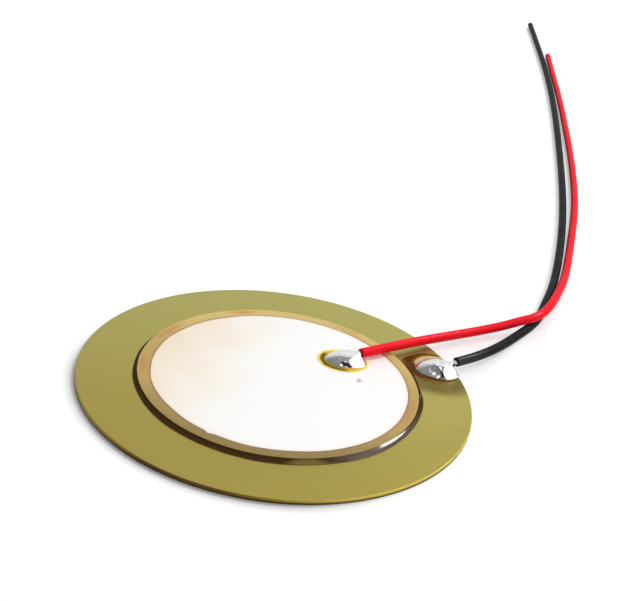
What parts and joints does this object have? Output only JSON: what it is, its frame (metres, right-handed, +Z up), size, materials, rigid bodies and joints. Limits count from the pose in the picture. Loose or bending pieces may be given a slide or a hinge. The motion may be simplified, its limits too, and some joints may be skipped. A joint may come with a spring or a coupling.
{
  "type": "piezo disc",
  "caption": "Bare piezo sounder element: thin brass plate with a bonded ceramic disc, silver electrode and two soldered wire leads.",
  "frame": {"origin": "centre of the brass plate's underside, on the surface it lies on", "axes": "+Z up through the ceramic, +X towards the side the leads are soldered at, +Y the way the leads run off"},
  "size_m": [0.0532, 0.1605, 0.0018],
  "materials": {
    "brass": "rolled sheet brass, satin, slightly dulled",
    "epoxy": "dark brown epoxy, glossy",
    "silver": "fired silver print, matt white",
    "ceramic": "fired piezo ceramic, tan, matt",
    "solder": "tin solder, bright and smooth",
    "red_pvc": "red PVC, soft gloss",
    "black_pvc": "black PVC, soft gloss",
    "tinned_copper": "tinned copper strands"
  },
  "bodies": {
    "root": {"brass_plate": "brass", "bond_layer": "epoxy", "lower_electrode": "silver", "ceramic_disc": "ceramic", "upper_electrode": "silver", "red_solder_joint": "solder", "black_solder_joint": "solder", "red_lead_insulation": "red_pvc", "red_lead_conductor": "tinned_copper", "black_lead_insulation": "black_pvc", "black_lead_conductor": "tinned_copper"}
  },
  "joints": []
}
